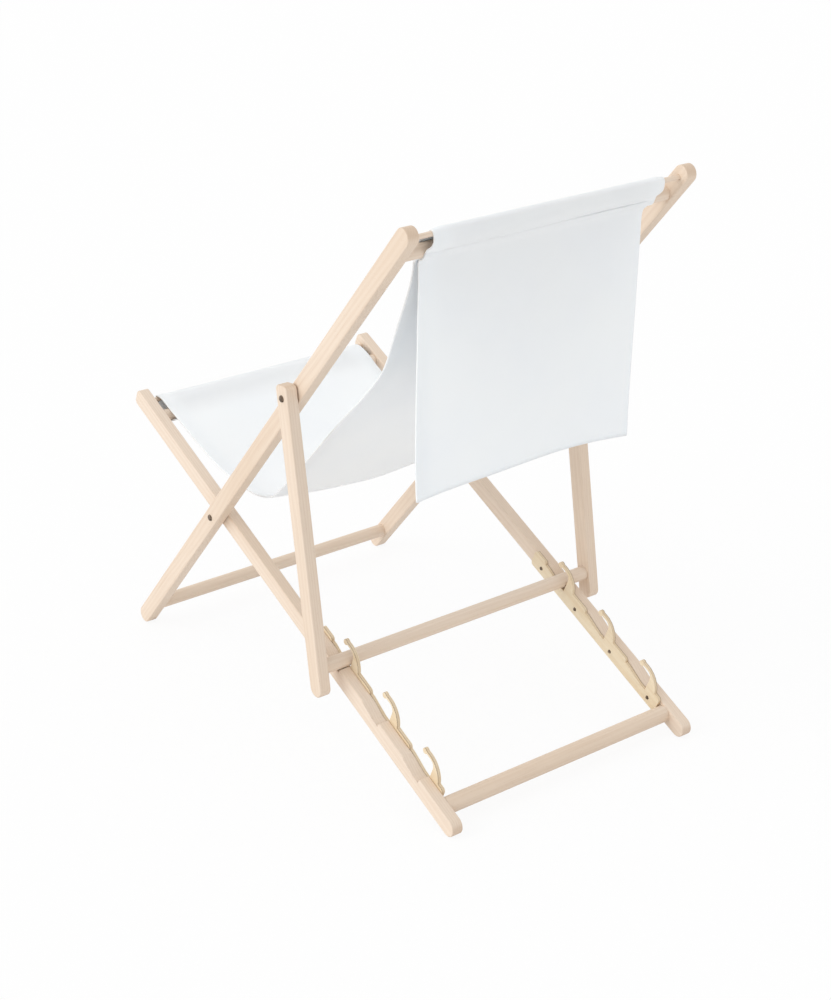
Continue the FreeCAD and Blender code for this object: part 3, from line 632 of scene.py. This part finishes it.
def sagSling(strip, setup):
    # the cloth hangs deepest along its middle, and its loops are never quite even
    half = canvas["halfWidth"]
    frontRod, headRod, headBar = setup["frontRod"], setup["headRod"], setup["headBar"]
    for vertex in strip.data.vertices:
        spot = vertex.co
        side = spot.x / half
        across = 1 - side**2
        seat = nearness(spot.y, setup["seatMiddle"], setup["seatReach"])
        rise = nearness(spot.y, setup["riseMiddle"], setup["riseReach"])
        ripple = math.sin(spot.x * 41 + 1.3) * math.sin(spot.y * 17 + spot.x * 9)
        if spot.y < frontRod[0] + setup["rodReach"] and spot.z > frontRod[1]:
            spot.z += setup["rodSlack"] * (0.5 + 0.5 * side)
        if side < 0:
            behind = nearness(spot.y, setup["cornerMiddle"], setup["cornerReach"])
            spot.z -= setup["cornerDroop"] * edgeShare(spot, setup["cornerWidth"]) ** 1.5 * behind
        lowest, nearest = headBar[1] - setup["loopBelow"], headBar[0] + setup["loopBehind"]
        if spot.z > lowest and spot.y > nearest:
            away = Vector((spot.y - headRod[0], spot.z - headRod[1]))
            below = away.dot(setup["alongLoop"]) < 0
            outward = Vector(setup["outOfLoop"]) if below else away.normalized()
            belly = min(1.0, max(0.0, (spot.z - setup["bellyFrom"]) / setup["bellyRise"]))
            pinch = edgeShare(spot, setup["pinchWidth"]) ** 2
            uneven = setup["loopRipple"] * math.sin(spot.x * 23 + 0.4) + setup["loopSkew"] * side
            move = belly * (uneven - setup["pinch"] * pinch)
            if away.length < setup["onRod"]:
                move = -pinch * (away.length - setup["rodRadius"])
            spot.y += outward[0] * move
            spot.z += outward[1] * move
        spot.z += setup["ripple"] * ripple * max(seat, rise)
        spot.z -= across * (setup["sag"] * seat + setup["riseSag"] * rise)
        spot.y -= across * setup["riseDraw"] * rise


slingLine = slingPath(sling)
slingStrip = modelStrip("sling_canvas", slingLine, clothColumns())
slingLength = mapCloth(slingStrip, slingLine)
sagSling(slingStrip, sling)
slingWhite = canvasFinish("sling_white", [sling["frontRow"], slingLength - sling["headRow"]])
finishCloth(slingStrip, slingWhite)
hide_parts("sling_back", "sling_seat")
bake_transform(slingStrip)
print("sling made,", round(slingLength, 3), "m of canvas")


# flap: the free end behind the head bar

flap = {
    "seam": (0.3760, 0.9021),  # in the groove under the roll
    "edge": [(0.3740, 0.8975), (0.3700, 0.8929), (0.3642, 0.8886), (0.3602, 0.8815),
             (0.3576, 0.8700), (0.3562, 0.8480), (0.3545, 0.8210), (0.3490, 0.7300),
             (0.3420, 0.6300), (0.3365, 0.5490), (0.3350, 0.5045)],
    "step": 0.016,
    "hemTop": 0.521,
    "hemRow": 0.0125,  # the hem's seam, from the lower end
    "leftSwing": 0.011, "rightSwing": 0.0025,  # how far the lower corners stand off
    "leftRise": 0.004, "rightRise": 0.0027,
    "rightInset": 0.013,  # the right edge hangs a little inwards
    "wave": 0.004,
    "middleSwing": 0.012, "middleRise": 0.005,
    "pinch": 0.006, "pinchWidth": 0.030,  # towards its corners the seam lies closer to the bar
    "overBar": 0.0140,  # least distance from the middle of the bar
    "blendStart": (0, 0.362, 0.890), "blendEnd": (0, 0.357, 0.862),
}


def swingFlap(strip, setup):
    # it hangs from its seam; down is 0 there and 1 at the lower hem
    high, low, bend = setup["seam"][1], setup["edge"][-1][1], setup["blendEnd"][2]
    bar = Vector(sling["headBar"])
    for vertex in strip.data.vertices:
        spot = vertex.co
        down = (high - spot.z) / (high - low)
        side = spot.x / canvas["halfWidth"]
        left, right = max(0.0, side), max(0.0, -side)
        middle = 1 - side**2
        spot.x += setup["rightInset"] * right
        spot.y += (setup["leftSwing"] * left + setup["rightSwing"] * right) * down**3
        spot.y += setup["wave"] * math.sin(spot.x * 19 + 0.7) * down**2
        spot.z += (setup["leftRise"] * left + setup["rightRise"] * right) * down**3
        top = max(0.0, (spot.z - bend) / (high - bend))
        corner = edgeShare(spot, setup["pinchWidth"]) ** 2
        spot.y -= setup["pinch"] * corner * min(1.0, 1.5 * top)
        off = Vector((spot.y, spot.z)) - bar
        if off.length < setup["overBar"]:
            spot.y, spot.z = bar + off.normalized() * setup["overBar"]
        spot.y -= setup["middleSwing"] * middle * down**2
        spot.z += setup["middleRise"] * middle * down**3


flapLine = smoothLine([flap["seam"]] + flap["edge"], flap["step"])
flapStrip = modelStrip("flap_canvas", flapLine, clothColumns())
flapLength = mapCloth(flapStrip, flapLine)
swingFlap(flapStrip, flap)
flapWhite = canvasFinish("flap_white", [flapLength - flap["hemRow"]])
finishCloth(flapStrip, flapWhite, flap["hemTop"])
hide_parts("rear_flap")
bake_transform(flapStrip)
print("flap made,", round(flapLength, 3), "m of canvas")
